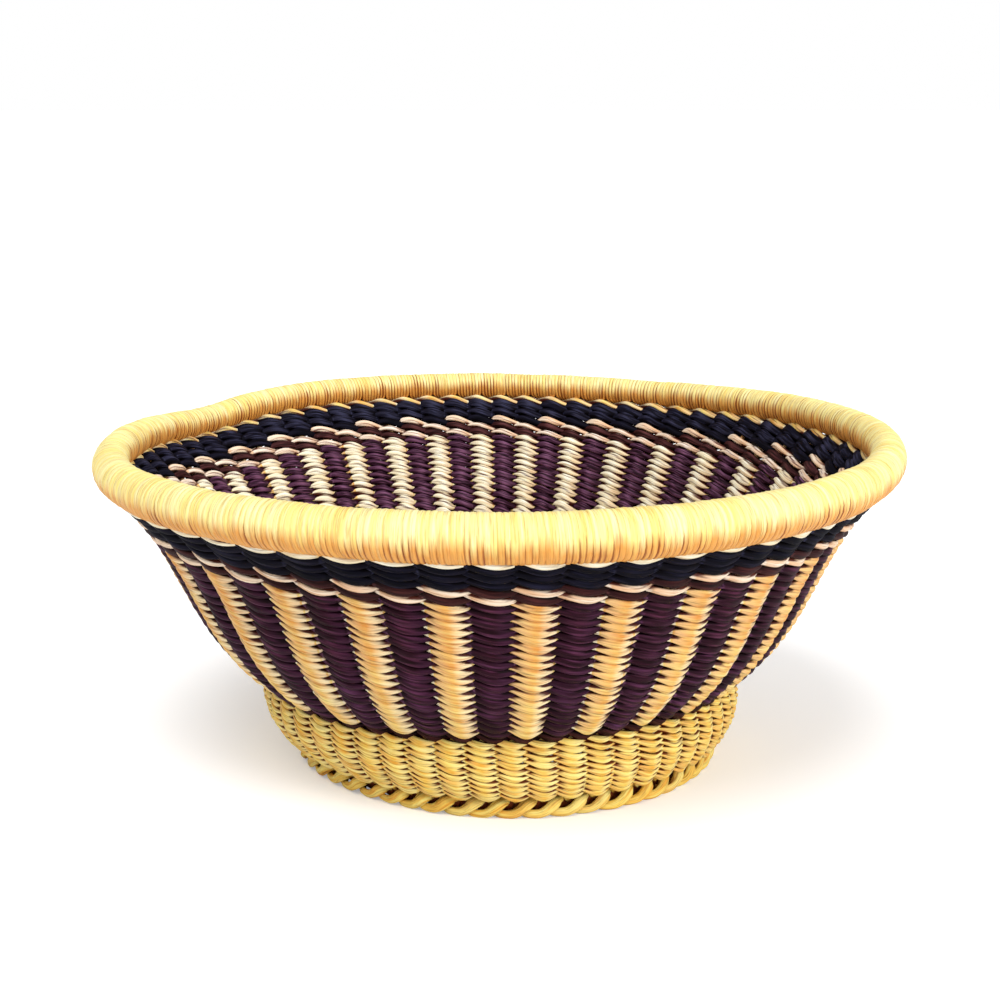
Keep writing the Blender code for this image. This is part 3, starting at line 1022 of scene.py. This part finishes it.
def rim_core():
    """A twisted bundle of grass stems inside the binding."""
    piece = Piece()
    stake = np.arange(CORE_STEPS) * (STAKES / CORE_STEPS)
    for i in range(CORE_STEMS):
        turn = math.tau * (CORE_TWISTS * stake / STAKES + i / (CORE_STEMS - 1))
        depth = CORE_MIDDLE_DEPTH if i == CORE_STEMS - 1 else CORE_RING_DEPTH
        centre, away = rim_section(stake, turn, depth)
        across = np.roll(centre, -1, axis=0) - centre
        side = np.cross(across, away)
        side /= np.linalg.norm(side, axis=1)[:, None]
        size = np.full(CORE_STEPS, CORE_STEM_RADIUS)
        tone = np.full(CORE_STEPS, RANDOM.uniform(0.0, 1.0))
        along = stake * RIM_RADIUS * math.tau / STAKES
        lead = np.zeros(CORE_STEPS)
        piece.sweep(centre, side, away, size, size, along, tone, no_crevice, lead, True, STEM_RING)
    piece.make("rim_core_stems", CORE, "rim_core_grass", ["rim_core"])


# Foot

# Tones of the outer and inner stitches.
FOOT_TONES = (0.52, 0.52)


def foot_weave():
    piece = Piece()
    for row in range(FOOT_ROWS):
        for phase in (0, 1):
            twine(piece, foot_surface, FOOT_WEAVE, row, phase, tones=FOOT_TONES)
    nodes = [f"foot_strand_{i}" for i in range(1, 5)]
    piece.make("foot_weave_strands", FOOT_STRAW, "natural_straw", nodes)


# Path of one foot stake and its end in the plaited border: steps round the basket, in stakes, and
# its height, its offset from the border's radius and half its height, in mm.
PLAIT = (
    (0.00, 38.0, 6.8, 1.2),
    (0.00, 26.0, 8.4, 1.2),
    (0.00, 15.0, 6.8, 1.3),
    (0.05, 11.0, 3.0, 2.4),
    (0.25, 8.0, -0.6, 3.8),
    (0.60, 6.4, -2.0, 4.8),
    (0.95, 5.4, -2.2, 4.8),
    (1.10, 4.2, -1.4, 3.4),
    (1.22, 2.6, 0.6, 2.2),
    (1.40, 2.0, 2.8, 1.9),
    (1.68, 2.0, 4.0, 1.9),
    (1.95, 2.6, 4.7, 2.0),
    (2.20, 4.2, 5.0, 2.3),
    (2.42, 6.2, 4.8, 2.6),
    (2.60, 7.4, 3.8, 2.5),
    (2.72, 7.4, 1.8, 2.2),
    (2.80, 6.0, -0.8, 1.8),
    (2.92, 4.4, -2.6, 1.5),
)
PLAIT_STEPS = 64

# Where the upright stretch of a stake ends, in stakes, how far aside the ends lie past it, in
# stakes, how much their sizes differ, as a share, their tones, and their thickness as a share of
# their height.
PLAIT_UPRIGHT_END = 0.2
PLAIT_ASIDE, PLAIT_SPREAD = 0.05, 0.06
PLAIT_TONES = (0.42, 0.62)
PLAIT_THICKNESS = 0.8

# The ends are painted dark behind the loops, as painted shade in the border's holes: the offset
# where that starts, and over how much more, in mm.
PLAIT_SHADE_START, PLAIT_SHADE_WIDTH = 1.8, 2.0

# Painted shade and light: how dark a loop is painted at its middle, and how much lighter on its
# outer side. Behind the loops the outer side is the dark one: how fast it grows light inward, and
# how dark it is at least.
PLAIT_PAINTED_SHADE, PLAIT_PAINTED_LIGHT = 0.25, 0.40
PLAIT_FADE, PLAIT_LEAST_PAINTED_SHADE = 2.2, 0.05


def smooth_path(points, count):
    """A smooth curve through points, evenly spaced by their order."""
    points = np.array(points)
    padded = np.concatenate([[2 * points[0] - points[1]], points, [2 * points[-1] - points[-2]]])
    place = np.linspace(0.0, len(points) - 1.0, count)
    i = np.minimum(place.astype(int), len(points) - 2)
    t = (place - i)[:, None]
    a, b, c, d = padded[i], padded[i + 1], padded[i + 2], padded[i + 3]
    line = 2 * b + (c - a) * t
    return 0.5 * (line + (2 * a - 5 * b + 4 * c - d) * t ** 2 + (3 * b - a - 3 * c + d) * t ** 3)


def plaited_border():
    """The foot's stakes. Their lower ends pass behind, come forward, rise and turn in at the top."""
    piece = Piece()
    steps, heights, offsets, sizes = smooth_path(PLAIT, PLAIT_STEPS).T
    inward = np.clip((PLAIT_SHADE_START - offsets) / PLAIT_SHADE_WIDTH, 0.0, 1.0)[:, None]
    radius = BORDER_RADIUS + offsets * MM
    for stake in range(STAKES):
        aside = RANDOM.uniform(-PLAIT_ASIDE, PLAIT_ASIDE) * (steps > PLAIT_UPRIGHT_END)
        x, y = fan_point(stake + FOOT_STAKE_SHIFT + steps + aside, radius)
        centre = np.stack([x, y, heights * MM], -1)
        out = np.stack([x, y, np.zeros_like(x)], -1) / radius[:, None]
        step = np.gradient(centre, axis=0)
        step /= np.linalg.norm(step, axis=1)[:, None]
        out = out - step * (out * step).sum(1)[:, None]
        out /= np.linalg.norm(out, axis=1)[:, None]
        up = np.cross(out, step)
        size = sizes * MM * (1.0 + RANDOM.uniform(-PLAIT_SPREAD, PLAIT_SPREAD))
        along = np.cumsum(np.linalg.norm(np.gradient(centre, axis=0), axis=1))
        tone = np.full(PLAIT_STEPS, RANDOM.uniform(*PLAIT_TONES))
        lead = np.zeros(PLAIT_STEPS)

        # Painted shade behind the loops and on each loop's inner side, painted light on its outer
        # side.
        def crevice(reach, side):
            outer = reach / size[:, None]
            behind = np.clip(1.0 + PLAIT_FADE * outer, PLAIT_LEAST_PAINTED_SHADE, 1.0)
            return (1.0 - inward) * (PLAIT_PAINTED_SHADE - PLAIT_PAINTED_LIGHT * outer) + inward * behind

        thick = PLAIT_THICKNESS * size
        piece.sweep(centre, up, out, size, thick, along, tone, crevice, lead, False, RING, GROOVE)
    nodes = ["foot_stakes_and_plaited_border"]
    piece.make("foot_stakes_and_plait", FOOT_STRAW, "natural_straw", nodes)


# Stage, light and camera

FLOOR_HALF_SIZE = 40.0
FLOOR_COLOUR = (0.93, 0.93, 0.93, 1.0)
FLOOR_ROUGHNESS, FLOOR_GLOSS = 0.9, 0.1

# Light that only the camera sees, which takes the floor's colour up to white outside the shadow.
FLOOR_GLOW = 0.3


def stage():
    half = FLOOR_HALF_SIZE
    corners = [(-half, -half, 0), (half, -half, 0), (half, half, 0), (-half, half, 0)]
    floor = bpy.data.meshes.new("floor")
    floor.from_pydata(corners, [], [(0, 1, 2, 3)])
    item = bpy.data.objects.new("floor", floor)
    bpy.context.collection.objects.link(item)
    material = bpy.data.materials.new("pale_floor")
    material.use_nodes = True
    tree = material.node_tree
    shader = tree.nodes["Principled BSDF"]
    shader.inputs["Base Color"].default_value = FLOOR_COLOUR
    shader.inputs["Roughness"].default_value = FLOOR_ROUGHNESS
    shader.inputs["Specular IOR Level"].default_value = FLOOR_GLOSS
    white = node(tree, "ShaderNodeEmission")
    white.inputs["Strength"].default_value = FLOOR_GLOW
    path = node(tree, "ShaderNodeLightPath")
    only_seen = node(tree, "ShaderNodeMixShader")
    both = node(tree, "ShaderNodeAddShader")
    tree.links.new(path.outputs["Is Camera Ray"], only_seen.inputs[0])
    tree.links.new(white.outputs[0], only_seen.inputs[2])
    tree.links.new(shader.outputs[0], both.inputs[0])
    tree.links.new(only_seen.outputs[0], both.inputs[1])
    tree.links.new(both.outputs[0], tree.nodes["Material Output"].inputs["Surface"])
    floor.materials.append(material)


# Strength of the even light from all round, and of the white that the camera sees there.
WORLD_LIGHT, WORLD_SEEN = 0.50, 1.0


def world_light():
    world = bpy.data.worlds.new("studio")
    bpy.context.scene.world = world
    world.use_nodes = True
    tree = world.node_tree
    light = tree.nodes["Background"]
    seen = node(tree, "ShaderNodeBackground")
    for shader, strength in ((light, WORLD_LIGHT), (seen, WORLD_SEEN)):
        shader.inputs["Color"].default_value = (*WHITE, 1.0)
        shader.inputs["Strength"].default_value = strength
    path = node(tree, "ShaderNodeLightPath")
    blend = node(tree, "ShaderNodeMixShader")
    tree.links.new(path.outputs["Is Camera Ray"], blend.inputs[0])
    tree.links.new(light.outputs[0], blend.inputs[1])
    tree.links.new(seen.outputs[0], blend.inputs[2])
    tree.links.new(blend.outputs[0], tree.nodes["World Output"].inputs["Surface"])


def lamp(name, elevation, azimuth, strength, softness):
    """A far, soft light. Angles are in degrees. Azimuth 0 is the front and 90 the right."""
    data = bpy.data.lights.new(name, "SUN")
    data.energy = strength
    data.angle = math.radians(softness)
    item = bpy.data.objects.new(name, data)
    item.rotation_euler = (math.radians(90.0 - elevation), 0.0, math.radians(azimuth))
    bpy.context.collection.objects.link(item)


# The photo's view, fitted to the basket's outline there. The tilt is in radians below level, and
# the lens and the sensor are in mm.
CAMERA_PLACE = (0.0003, -0.8849, 0.3114)
CAMERA_TILT = 0.2103
CAMERA_LENS, CAMERA_SENSOR = 68.07, 36.0


def camera():
    data = bpy.data.cameras.new("camera")
    data.sensor_width = CAMERA_SENSOR
    data.lens = CAMERA_LENS
    item = bpy.data.objects.new("camera", data)
    item.location = CAMERA_PLACE
    item.rotation_euler = (0.5 * math.pi - CAMERA_TILT, 0.0, 0.0)
    bpy.context.collection.objects.link(item)
    bpy.context.scene.camera = item


bpy.context.scene.view_settings.view_transform = "Standard"
camera()
world_light()
lamp("top_light", elevation=60.0, azimuth=-20.0, strength=1.85, softness=30.0)
lamp("front_light", elevation=22.0, azimuth=50.0, strength=1.6, softness=30.0)
stage()

bowl_weave()
bowl_stakes()
floor_weave()
floor_centre()
rim_core()
rim_binding()
foot_weave()
plaited_border()
